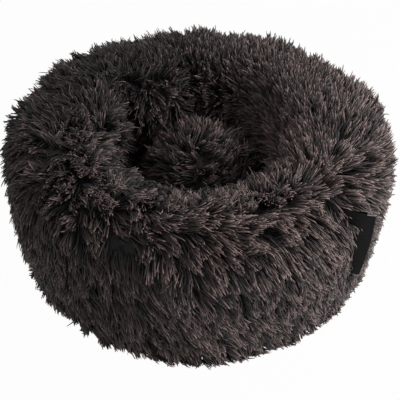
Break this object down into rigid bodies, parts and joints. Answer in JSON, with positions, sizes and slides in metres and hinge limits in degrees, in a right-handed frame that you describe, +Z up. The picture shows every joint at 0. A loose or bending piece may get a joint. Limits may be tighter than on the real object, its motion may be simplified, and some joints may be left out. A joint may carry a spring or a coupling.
{
  "type": "donut pet bed",
  "caption": "Round plush pet bed: a plump fur ring round a deep nest, a loose crowned fur cushion in the nest, a zipped anti-slip base and a folded side ribbon.",
  "frame": {"origin": "on the floor, under the middle of the bed's outer ring", "axes": "+Z up; +X to the right and -Y towards the viewer in the picture's view; the zip in the base runs along X"},
  "size_m": [0.4872, 0.4786, 0.2043],
  "materials": {
    "fur": "long shaggy pile, dark taupe",
    "fibre": "loose white polyester fibre",
    "bag_cloth": "thin white non-woven cloth",
    "lining": "plain dark lining cloth",
    "grip_cloth": "black anti-slip cloth with small grip dots",
    "zip_tape": "black woven tape",
    "zip_coil": "black nylon coil",
    "zip_metal": "dark cast zinc",
    "ribbon": "black woven satin ribbon, plain"
  },
  "bodies": {
    "bed": {"outer_fur_panel": "fur", "inner_fur_panel": "fur", "ring_inner_bag": "bag_cloth", "ring_fibre_filling": "fibre", "nest_floor_lining": "lining", "nest_floor_wadding": "fibre", "base_panel_front": "grip_cloth", "base_panel_rear": "grip_cloth", "zip_tape_front": "zip_tape", "zip_tape_rear": "zip_tape", "zip_chain": "zip_coil", "zip_stop_closed_end": "zip_metal", "zip_stop_open_end": "zip_metal", "side_label": "ribbon"},
    "cushion": {"cushion_fur_panel": "fur", "cushion_base_panel": "lining", "cushion_fibre_filling": "fibre"},
    "zip_slider": {"zip_slider": "zip_metal"},
    "zip_pull": {"zip_pull": "zip_metal"}
  },
  "joints": [
    {"name": "cushion_lift", "type": "slide", "parent": "bed", "child": "cushion", "axis": [0, 0, 1], "range_m": [0, 0.2]},
    {"name": "zip_run", "type": "slide", "parent": "bed", "child": "zip_slider", "axis": [1, 0, 0], "range_m": [0, 0.165]},
    {"name": "zip_pull_swing", "type": "hinge", "parent": "zip_slider", "child": "zip_pull", "pos_m": [-0.0827, 0, 0.0061], "axis": [0, 1, 0], "range_deg": [0, 180]}
  ]
}
